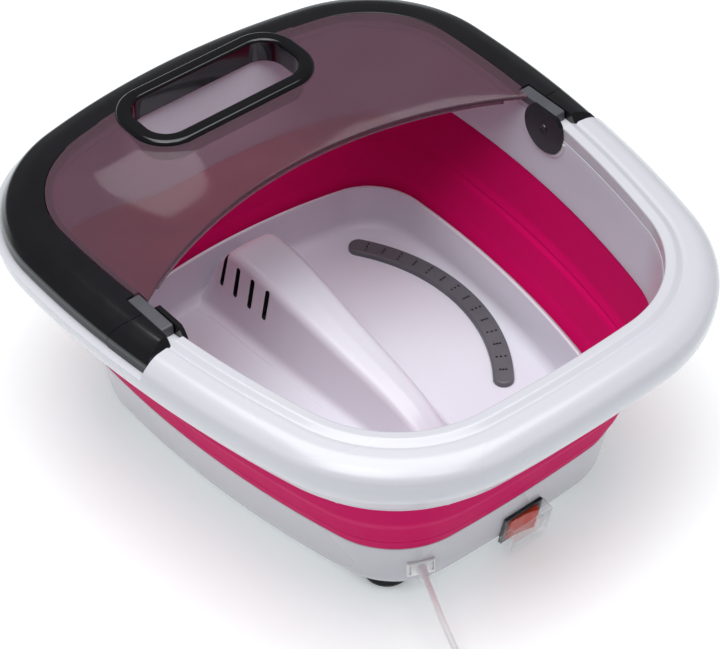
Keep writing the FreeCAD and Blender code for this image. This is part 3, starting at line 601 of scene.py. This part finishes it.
def make_rim_shell():
    """The rim's outer moulding: a high crest in front, a lower shelf for the guard behind the knuckles."""
    crest = rounded(
        [
            (14.0, 137.0, 0),
            (0.4, 157.0, 20),
            (-0.4, 171.0, 10),
            (10.0, 178.2, 20),
            (21.2, 179.3, 2),
            (22.6, 178.4, 0.7),
            (23.9, 178.9, 0.7),
            (28.0, 181.0, 3),
            (34.2, 180.6, 1.2),
            (34.6, 171.9, 0),
        ],
        9,
    )
    split = next(k for k, point in enumerate(crest) if point.y > CREST_START_Z)
    skirt = resampled(crest[: split + 1], 26)
    over_front = resampled(crest[split:], 74)
    shelf = [(*crest[split], 0), (8.8, 167.4, 0.8), (10.6, 173, 3), (16, 176.2, 8), (25, 177.6, 8)]
    shelf = rounded(shelf + [(34.2, 177.3, 1), (34.6, 171.9, 0)], 8)
    over_rear = resampled(shelf, 74)
    made = bmesh.new()
    front = part_sweep(made, [tuple(p) for p in skirt + over_front[1:]], knuckle_front, True, False)
    rear = part_sweep(made, [tuple(p) for p in skirt + over_rear[1:]], knuckle_front, False, False)
    for low_front, high_front, low_rear, high_rear in zip(front, front[1:], rear, rear[1:]):
        for a, b in ((-1, 0), (0, -1)):
            corners = [low_front[a], high_front[a], high_rear[b], low_rear[b]]
            gap = (corners[0].co - corners[3].co).length + (corners[1].co - corners[2].co).length
            if gap > 0.01:
                made.faces.new(corners)
    rim = finished("rim_moulding", made, "white_shell", "rim", 38)
    skin = rim.modifiers.new("thickness", "SOLIDIFY")
    skin.thickness = RIM_THICKNESS * MM
    skin.offset = -1.0
    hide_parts("rim_shell")


def make_liner():
    """The rim's inner wall with the flange at its foot, opened for the knuckles."""
    section = rounded(
        [
            (LINER_TOP_INSET, LINER_TOP_Z, 0.6),
            (LINER_FOOT_INSET, LINER_FOOT_Z, 1.4),
            (24.0, LINER_FOOT_Z, 0.6),
            (24.0, 127.1, 0.4),
            (34.9, 127.1, 1.0),
            (32.4, LINER_TOP_Z, 0.6),
        ],
        5,
        True,
    )
    liner = sweep("rim_liner_wall", divided(section), "white_tub", "rim")
    pockets = []
    for side in (-1, 1):
        low, high = sorted(side * x for x in LINER_POCKET_X)
        pocket = circle(LINER_POCKET_RADIUS, (PIVOT_Y, PIVOT_Z))
        pockets.append(prism("pocket", pocket, low, high, axis="X"))
    carve(liner, pockets)
    smooth(liner.data, 38)
    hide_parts("rim_liner")


EAR_RING_RADIUS = 19.3
EAR_RING_DROP = 0.4
EAR_RING_HALF_WIDTH, EAR_RING_HEIGHT = 1.5, 1.0
EAR_RING_START, EAR_RING_SWEEP = -176, 172
EAR_RING_STEPS, EAR_RING_SIDES = 48, 10


def make_ear_rings():
    """A raised half ring on the rim's inner wall round each ear."""
    slope = (LINER_FOOT_INSET - LINER_TOP_INSET) / (LINER_TOP_Z - LINER_FOOT_Z)
    for side, name in ((-1, "left"), (1, "right")):
        made = bmesh.new()
        rows = []
        for k in range(EAR_RING_STEPS + 1):
            turn = math.radians(EAR_RING_START + EAR_RING_SWEEP * k / EAR_RING_STEPS)
            ahead, rise = math.cos(turn), math.sin(turn)
            y = EAR_RING_RADIUS * ahead + PIVOT_Y
            z = EAR_RING_RADIUS * rise + PIVOT_Z - EAR_RING_DROP
            wall = side_point(LINER_TOP_INSET + (LINER_TOP_Z - z) * slope, y, 1).x
            row = []
            for step in range(EAR_RING_SIDES):
                around = 2 * math.pi * step / EAR_RING_SIDES
                out = EAR_RING_HALF_WIDTH * math.cos(around)
                x = wall - EAR_RING_HEIGHT * math.sin(around)
                row.append((side * x, y + out * ahead, z + out * rise))
            rows.append(row)
        capped(made, rows)
        finished("ear_ring_" + name, made, "white_shell", "rim")


# ---- guard ---------------------------------------------------------------------------------------
GUARD_SIDE = [(5.4, 174.0, 7), (10.0, 180.4, 9), (20.0, 184.2, 24)]
GUARD_SKIN = [(5.0, 168.0, 0.6)] + GUARD_SIDE + [(33.2, 185.25, 0.8)]
EDGE_RADIUS, EDGE_Y = 287.0, -226.0
SLOT_HALF, SLOT_LOW, SLOT_HIGH, SLOT_CORNER = 59.5, 128.5, 172.5, 16.0
SLOT_MARGIN = 2.7
SEAT_X, SEAT_END_Y = (120.0, 161.6), 26.2
EDGE_HALF, EDGE_START_Y, EDGE_TOP_Z = 152, -60, 182.6


def slot_line(margin, steps=14):
    """The hand slot's outline, grown by a margin."""
    half, corner = SLOT_HALF + margin, SLOT_CORNER + margin
    return rectangle(-half, half, SLOT_LOW - margin, SLOT_HIGH + margin, corner, steps)


def edge_line(radius, half, steps):
    """Points along the guard's curved free edge, between x = -half and x = half."""
    reach = math.asin(half / radius)
    turns = [reach * k / steps for k in range(-steps, steps + 1)]
    return [(radius * math.sin(turn), EDGE_Y + radius * math.cos(turn)) for turn in turns]


def make_guard_frame():
    """The black band round the window, seated on the shelf and cut for the links, free edge and slot."""
    section = rounded(
        [(5.6, 168.0, 0.5), (5.0, 168.4, 0.4)]
        + GUARD_SIDE
        + [(33.4, 185.2, 0.5), (33.9, 182.6, 0.2), (38.5, 182.6, 0.5), (38.5, 180.3, 0.5)]
        + [(28.0, 180.6, 3), (21.0, 181.6, 8), (11.8, 178.3, 6), (7.8, 173.6, 5), (7.4, 168.0, 0.5)],
        6,
        True,
    )
    made = bmesh.new()
    grid = part_sweep(made, [tuple(p) for p in section], knuckle_back, False, True)
    for k in (0, -1):
        made.faces.new([row[k] for row in grid])
    guard = finished("guard_frame", made, "guard_black", "guard", 40)
    tools = []
    for side in (-1, 1):
        low, high = sorted(side * x for x in SEAT_X)
        tools.append(prism("seat", rectangle(low, high, EDGE_START_Y, SEAT_END_Y), CUT_LOW, CUT_HIGH))
    disc = circle(EDGE_RADIUS, (0, EDGE_Y), 720)
    edge = sorted((x, y) for x, y in disc if y > EDGE_START_Y and abs(x) < EDGE_HALF)
    edge += [(EDGE_HALF, EDGE_START_Y), (-EDGE_HALF, EDGE_START_Y)]
    tools.append(prism("free_edge", edge, CUT_LOW, EDGE_TOP_Z))
    tools.append(prism("opening", slot_line(SLOT_MARGIN), CUT_LOW, CUT_HIGH))
    carve(guard, tools)
    softened(guard, 0.35, 2, 40)
    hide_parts("lid_frame")


def rounded_box_distance(x, y, half, low, high, corner):
    """Signed distance to a rounded rectangle centred on x = 0; negative inside."""
    a = abs(x) - (half - corner)
    b = abs(y - (low + high) / 2) - ((high - low) / 2 - corner)
    return math.hypot(max(a, 0.0), max(b, 0.0)) + min(max(a, b), 0.0) - corner


WINDOW_INSET = 34.1
WINDOW_TOP, WINDOW_UNDER = 185.2, 182.62
WINDOW_CORNER_X = 152.4
BEYOND_X, BEYOND_Y = 175.0, -20.0
PANELS = [(110.0, 90.0, 260.0, 60.0), (80.0, 107.0, 260.0, 36.0)]
PANEL_RISE, PANEL_SLOPE = 0.8, 1.2
EASE_WIDTH, EASE_DROP = 0.8, 0.9
EDGE_REACH, LIP_REACH = 165.0, 139.0


def window_height(x, y):
    """The sheet's top: two shallow raised panels with sloped sides, and an eased free edge."""
    z = WINDOW_TOP
    for panel in PANELS:
        depth = -rounded_box_distance(x, y, *panel) / PANEL_SLOPE
        z += PANEL_RISE * min(max(depth, 0.0), 1.0)
    edge = (math.hypot(x, y - EDGE_Y) - EDGE_RADIUS) / EASE_WIDTH
    return z - EASE_DROP * (1 - min(max(edge, 0.0), 1.0)) ** 2


def surrounds(border, x, y):
    """Whether a closed line of points goes round a point."""
    crossings = 0
    for a, b in zip(border, border[1:] + border[:1]):
        if (a.y > y) != (b.y > y) and x < a.x + (y - a.y) / (b.y - a.y) * (b.x - a.x):
            crossings += 1
    return crossings % 2 == 1


def window_lines():
    """The lines that the sheet's faces follow, each with whether it is closed."""
    lines = [(outline(WINDOW_INSET), True)]
    for grow in (0.0, 0.25, EASE_WIDTH):
        lines.append((edge_line(EDGE_RADIUS + grow, EDGE_REACH, 90), False))
    for half, low, high, corner in PANELS:
        for shrink in (0.0, PANEL_SLOPE):
            panel = rectangle(shrink - half, half - shrink, low + shrink, high, corner - shrink, 24)
            lines.append((panel, True))
    lines.append((slot_line(SLOT_MARGIN), True))
    for side in (-1, 1):
        x = side * WINDOW_CORNER_X
        lines.append(([(x, BEYOND_Y), (x, SEAT_END_Y), (side * BEYOND_X, SEAT_END_Y)], False))
    return lines


def make_window():
    """The smoked sheet: one closed solid whose faces follow the steps round the handle."""
    places, links = [], []
    for line, closed in window_lines():
        first, count = len(places), len(line)
        places.extend(Vector(point) for point in line)
        links.extend((first + k, first + (k + 1) % count) for k in range(count if closed else count - 1))
    points, _, triangles, *_ = delaunay_2d_cdt(places, links, [], 0, 0.0001)
    border = outline(WINDOW_INSET)
    grown = SLOT_MARGIN
    slot = (SLOT_HALF + grown, SLOT_LOW - grown, SLOT_HIGH + grown, SLOT_CORNER + grown)
    made = bmesh.new()
    top = [made.verts.new((p.x, p.y, window_height(p.x, p.y))) for p in points]
    under = [made.verts.new((p.x, p.y, WINDOW_UNDER)) for p in points]
    sides = {}
    for triangle in triangles:
        x = sum(points[k].x for k in triangle) / 3
        y = sum(points[k].y for k in triangle) / 3
        in_front = math.hypot(x, y - EDGE_Y) < EDGE_RADIUS
        in_corner = abs(x) > WINDOW_CORNER_X and y < SEAT_END_Y
        in_slot = rounded_box_distance(x, y, *slot) < 0
        if in_front or in_corner or in_slot or not surrounds(border, x, y):
            continue
        made.faces.new([top[k] for k in triangle])
        made.faces.new([under[k] for k in reversed(triangle)])
        for a, b in zip(triangle, triangle[1:] + triangle[:1]):
            if (b, a) in sides:
                del sides[(b, a)]
            else:
                sides[(a, b)] = True
    for a, b in sides:
        made.faces.new((top[b], top[a], under[a], under[b]))
    bmesh.ops.delete(made, geom=[v for v in made.verts if not v.link_faces], context="VERTS")
    window = finished("guard_window", made, "window_smoked", "guard", 50)
    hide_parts("lid_window")


def make_window_lip():
    """The short lip that hangs from the window along its free edge."""
    section = rounded(
        [(EDGE_RADIUS, 182.7, 0.3), (289.6, 182.7, 0.3), (289.2, 179.8, 0.8), (287.1, 179.8, 0.8)], 4, True
    )
    made = bmesh.new()
    rows = [[(x, y, z) for x, y in edge_line(radius, LIP_REACH, 60)] for radius, z in section]
    lattice(made, rows, loop=True, around=False, ends=True)
    finished("window_lip", made, "window_smoked", "guard")


def make_handle():
    """The raised ring of the hand slot and the short wall below it, as (margin, z) round the slot."""
    section = rounded(
        [
            (0.0, 172.2, 0.8),
            (0.0, 190.0, 2.4),
            (10.5, 190.0, 3.4),
            (10.5, 183.9, 0.4),
            (2.5, 183.9, 0.2),
            (2.5, 172.2, 0.8),
        ],
        8,
        True,
    )
    made = bmesh.new()
    lattice(made, [[(p.x, p.y, z) for p in slot_line(margin)] for margin, z in section], loop=True)
    handle = finished("carry_handle", made, "handle_black", "guard", 50)
    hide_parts("handle_ring")


EAR_X, KNUCKLE_END_X = 149.3, 187.2
LINK_ENDS_X = (152.6, 161.4)
LINK_SLOT_X, LINK_SLOT_Z = (152.3, 161.7), 159.7
LINK_EYE_RADIUS = 8
PIN_CAP = [(0.01, 0.2), (2.0, 0.2), (2.6, 0.7), (3.4, 0.7), (3.9, 0.1), (4.0, -0.6)]


def make_knuckle(side, name):
    """The black half drum in the rim, under the guard's line and slotted for the link."""
    low, high = sorted((side * EAR_X, side * KNUCKLE_END_X))
    disc = circle(KNUCKLE_RADIUS, (PIVOT_Y, PIVOT_Z), 120)
    block = prism("knuckle_" + name, disc, low, high, "guard_black", "rim", "X")
    cover = [(5.0, 140.0)] + [tuple(p) for p in rounded(GUARD_SKIN, 6)]
    carve(block, [filled("cover", cover)], "INTERSECT")
    low, high = sorted(side * x for x in LINK_SLOT_X)
    carve(block, [prism("slot", rectangle(low, high, -60, 60), LINK_SLOT_Z, CUT_HIGH)])
    softened(block, 0.7, 3, 34)
    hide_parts("hinge_block_" + name)


def make_link(side, name):
    """The grey link from its round eye at the pivot to the guard."""
    bar = rounded(
        [(-10, 171, 0), (-9, 184.4, 1.5), (26, 184.4, 1.5), (26, 177.5, 1), (6, 177.5, 1.5), (6, 171, 0)], 5
    )
    eye = []
    for k in range(1, 20):
        turn = -math.pi * k / 20
        y = PIVOT_Y + LINK_EYE_RADIUS * math.cos(turn)
        eye.append((y, PIVOT_Z + LINK_EYE_RADIUS * math.sin(turn)))
    low, high = sorted(side * x for x in LINK_ENDS_X)
    link = prism("link_" + name, [tuple(p) for p in bar] + eye, low, high, "link_grey", "guard", "X")
    softened(link, 1.0, 3, 34)
    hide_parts("hinge_link_" + name)


def make_pin_cap(side, name):
    """The pin's small cap on the ear, with a raised ring."""
    made = bmesh.new()
    rows = []
    for reach, height in PIN_CAP:
        x = side * EAR_X - side * height
        rows.append([(x, y, z) for y, z in circle(reach, (PIVOT_Y, PIVOT_Z), 40)])
    capped(made, rows)
    finished("pin_cap_" + name, made, "guard_black", "rim")


def make_hinges():
    for side, name in ((-1, "left"), (1, "right")):
        make_knuckle(side, name)
        make_link(side, name)
        make_pin_cap(side, name)


# ---- base ----------------------------------------------------------------------------------------
BASE_SIDE = ((65.7, 10.0), (57.5, 54.0))
SWITCH_X, SWITCH_Z = 4.0, 22.5
SWITCH_HALF_WIDTH, SWITCH_HALF_HEIGHT = 13.7, 10.8


def make_base():
    """The base's sloping side with its turned-in foot, and the hole for the switch."""
    (foot_inset, foot_z), (top_inset, top_z) = BASE_SIDE
    section = rounded(
        [
            (80.0, foot_z, 0.4),
            (foot_inset, foot_z, 12.0),
            (top_inset, top_z, 1.0),
            (60.0, top_z, 0.5),
            (68.2, 12.5, 9.5),
            (80.0, 12.5, 0.4),
        ],
        8,
        True,
    )
    shell = sweep("base_moulding", divided(section), "white_shell", "base")
    slope = (foot_inset - top_inset) / (top_z - foot_z)
    lean = Matrix.Rotation(math.atan(slope), 4, "X")
    inset = top_inset + (top_z - SWITCH_Z) * slope
    place = Vector((SWITCH_X, inset - HALF_DEPTH, SWITCH_Z)) * MM
    opening = rectangle(-SWITCH_HALF_WIDTH, SWITCH_HALF_WIDTH, -SWITCH_HALF_HEIGHT, SWITCH_HALF_HEIGHT)
    cutter = prism("switch_hole", opening, -10, 10, axis="Y")
    cutter.matrix_world = Matrix.Translation(place) @ lean
    carve(shell, [cutter])
    smooth(shell.data, 38)
    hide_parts("base_shell")


def smooth_step(a, b, c, d, t):
    """A value between b and c on the smooth curve through a, b, c and d."""
    bend = (2 * a - 5 * b + 4 * c - d) * t**2 + (3 * b - a - 3 * c + d) * t**3
    return 0.5 * (2 * b + (c - a) * t + bend)


def smoothed_between(stations, count):
    """Stations (y, value, value...) with count - 1 more between each two, on a smooth curve through them."""
    made = []
    for k in range(len(stations) - 1):
        before = stations[max(k - 1, 0)]
        start, end = stations[k], stations[k + 1]
        after = stations[min(k + 2, len(stations) - 1)]
        for step in range(count):
            t = step / count
            made.append([smooth_step(a, b, c, d, t) for a, b, c, d in zip(before, start, end, after)])
    made.append(list(stations[-1]))
    return made


FLOOR_Z = 26.0
DIVIDER_STATIONS = [
    (-84.0, 15.0, 7.0, 26.5),
    (-78.0, 17.0, 8.0, 33.0),
    (-46.0, 22.0, 11.0, 52.0),
    (30.0, 26.0, 15.0, 66.0),
    (80.0, 28.0, 18.0, 75.0),
    (112.0, 29.0, 18.5, 76.5),
    (126.0, 30.0, 18.0, 68.0),
    (138.0, 31.0, 17.0, 48.0),
    (144.0, 31.5, 16.0, 27.0),
]
SLIT_ROWS = (77.0, 92.0, 107.0, 122.0)
SLIT_HALF, SLIT_LOW, SLIT_HIGH, SLIT_CORNER = 2.0, 48.0, 71.0, 1.8
SLIT_END_X, SLIT_OUT_X = 17.0, 34.0
BAY_LEFT, BAY_RIGHT, BAY_FRONT, BAY_REAR = -92.0, 48.0, -160.0, -112.0
BAY_CORNER = 14.0


def make_bowl():
    """The bowl: its floor and sloping wall."""
    section = rounded(
        [
            (96.0, 23.5, 0),
            (67.2, 23.5, 0.5),
            (62.3, 57.0, 0.8),
            (64.8, 57.0, 0.8),
            (70.4, FLOOR_Z, 9.0),
            (96.0, FLOOR_Z, 0),
        ],
        8,
    )
    made = bmesh.new()
    capped(made, [[(p.x, p.y, z) for p in outline(inset)] for inset, z in section])
    return finished("tub_bowl", made, "white_tub", "base")


def divider_row(y, foot, top_half, top):
    """The divider's section at a station: half its width at the floor and at the top, and its height."""
    low = min(top, FLOOR_Z + 0.001)
    height = max(top - low, 0.4)
    crown = min(7.0, height * 0.45)
    flare = min(6.0, height * 0.4)
    side = [
        (foot + flare + 1.2, 25.0, 0),
        (foot + flare + 1.0, 26.08, 0),
        (foot, 26.08, flare),
        (top_half, top, crown),
        (0, top + min(1.2, height * 0.05), 0),
    ]
    line = resampled(rounded(side, 8), 40)
    return [(p.x, y, p.y) for p in line] + [(-p.x, y, p.y) for p in line[-2::-1]]


def make_divider():
    """The divider between the feet, with slits in its sides whose inner faces are painted black: painted
    shade for the dark hollow behind them.
    """
    made = bmesh.new()
    capped(made, [divider_row(*station) for station in smoothed_between(DIVIDER_STATIONS, 7)])
    divider = finished("tub_divider", made, "white_tub", "base", 50)
    cuts = []
    for side in (-1, 1):
        for y in SLIT_ROWS:
            slit = rectangle(y - SLIT_HALF, y + SLIT_HALF, SLIT_LOW, SLIT_HIGH, SLIT_CORNER, 4)
            cuts.append(prism("slit", slit, side * SLIT_END_X, side * SLIT_OUT_X, axis="X"))
    carve(divider, cuts)
    smooth(divider.data, 50)
    # The slits' inner faces get the black switch material: painted shade standing for the unlit hollow behind
    # them.
    divider.data.materials.append(MATERIALS["switch_black"])
    for face in divider.data.polygons:
        x, y, z = (part / MM for part in face.center)
        beside = min(abs(y - middle) for middle in SLIT_ROWS) < SLIT_HALF + 0.05
        level = SLIT_LOW - 0.1 < z < SLIT_HIGH + 0.1 and abs(x) > SLIT_END_X - 0.5
        slit_shade_face = abs(face.normal.x) < 0.6 or abs(abs(x) - SLIT_END_X) < 0.3
        if beside and level and slit_shade_face:
            face.material_index = 1
    return divider


def make_bay():
    """The dry bay at the front of the tub, flared into the floor and cut off at the wall."""
    section = rounded(
        [(-8.0, 46.2, 0), (0.0, 46.0, 5.0), (1.0, FLOOR_Z, 6.0), (9.0, 25.9, 0), (9.0, 24.0, 0)], 6
    )
    rows = []
    for grow, z in section:
        left, right, rear = BAY_LEFT - grow, BAY_RIGHT + grow, BAY_REAR + grow
        line = rectangle(left, right, BAY_FRONT, rear, BAY_CORNER + grow, 6)
        rows.append([(p.x, p.y, z) for p in line])
    made = bmesh.new()
    capped(made, rows)
    bay = finished("tub_bay", made, "white_tub", "base", 45)
    carve(bay, [filled("within", [(68.2, 22.0), (63.0, 57.0)])], "INTERSECT")
    smooth(bay.data, 45)
    return bay


def make_tub():
    """The bowl, the divider and the bay, in place of the CAD model's one tub."""
    for piece in (make_bowl(), make_divider(), make_bay()):
        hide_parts("tub_basin")


# ---- folding wall --------------------------------------------------------------------------------
WALL_LOW, WALL_HIGH = 54.1, 124.5


def make_folding_wall():
    """The soft wall as one closed band, swept between the base's edge and the rim."""
    outer = [
        (34.9, WALL_HIGH, 0.0),
        (42.0, 92.0, 12.0),
        (46.5, 84.0, 6.0),
        (52.0, 67.2, 0.8),
        (53.2, 66.2, 0.5),
        (53.2, 64.6, 1.2),
        (57.7, WALL_LOW, 0.0),
    ]
    inner = [
        (37.2, WALL_HIGH, 0.0),
        (43.6, 92.6, 8.0),
        (46.6, 87.6, 0.8),
        (46.0, 86.6, 0.4),
        (47.2, 85.4, 0.8),
        (48.8, 84.0, 4.0),
        (55.3, 64.0, 6.0),
        (60.0, WALL_LOW, 0.0),
    ]
    profile = resampled(rounded(outer, 5), 70) + resampled(rounded(inner, 5), 70)[::-1]
    wall = sweep("soft_wall", profile, "wall_magenta", None)
    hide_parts("folding_wall")
    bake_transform(wall)


# ---- surroundings --------------------------------------------------------------------------------
FLOOR_SIZE = 6.0
FLOOR_GLOW = 0.3


def make_floor():
    """A pale floor that glows a little, as the photograph's white background does."""
    mesh = bpy.data.meshes.new("floor")
    made = bmesh.new()
    bmesh.ops.create_grid(made, x_segments=1, y_segments=1, size=FLOOR_SIZE)
    made.to_mesh(mesh)
    made.free()
    floor = bpy.data.objects.new("floor", mesh)
    bpy.context.scene.collection.objects.link(floor)
    glow = {"Emission_Color": srgb(250, 252, 252), "Emission_Strength": FLOOR_GLOW}
    shader = Shader("floor", srgb(240, 247, 247), 0.6, **glow).mottle(3, 0.05)
    mesh.materials.append(shader.material)


WORLD_COLOUR, WORLD_STRENGTH = (0.93, 0.94, 1.0, 1.0), 0.16


def make_lights():
    """A wide softbox overhead, a weak one from the left, and a dim surround."""
    world = bpy.data.worlds.new("studio")
    bpy.context.scene.world = world
    world.use_nodes = True
    background = world.node_tree.nodes["Background"]
    background.inputs["Color"].default_value = WORLD_COLOUR
    background.inputs["Strength"].default_value = WORLD_STRENGTH

    def area(name, place, target, size, power):
        data = bpy.data.lights.new(name, "AREA")
        data.shape = "RECTANGLE"
        data.size, data.size_y = size
        data.energy = power
        lamp = bpy.data.objects.new(name, data)
        bpy.context.scene.collection.objects.link(lamp)
        lamp.location = place
        lamp.rotation_euler = (Vector(target) - Vector(place)).to_track_quat("-Z", "Y").to_euler()

    area("key", (-0.1, -0.1, 2.2), (0, 0, 0.1), (2.2, 2.2), 57)
    area("side", (-0.9, -0.5, 2.0), (0.1, 0.1, 0.15), (0.9, 0.9), 6)


def dress_nodes():
    """Gives every CAD node the material of its slot."""
    for row in frame["record"]["subparts"]:
        node = NODES[row["node"]]
        node.data.materials.clear()
        node.data.materials.append(MATERIALS[row["material_slot"]])


MATERIALS = make_materials()
make_camera()
make_cord()
make_rim_shell()
make_liner()
make_ear_rings()
make_guard_frame()
make_window()
make_window_lip()
make_handle()
make_hinges()
make_base()
make_tub()
dress_nodes()
make_folding_wall()
make_floor()
make_lights()
bpy.context.scene.view_settings.view_transform = "Standard"
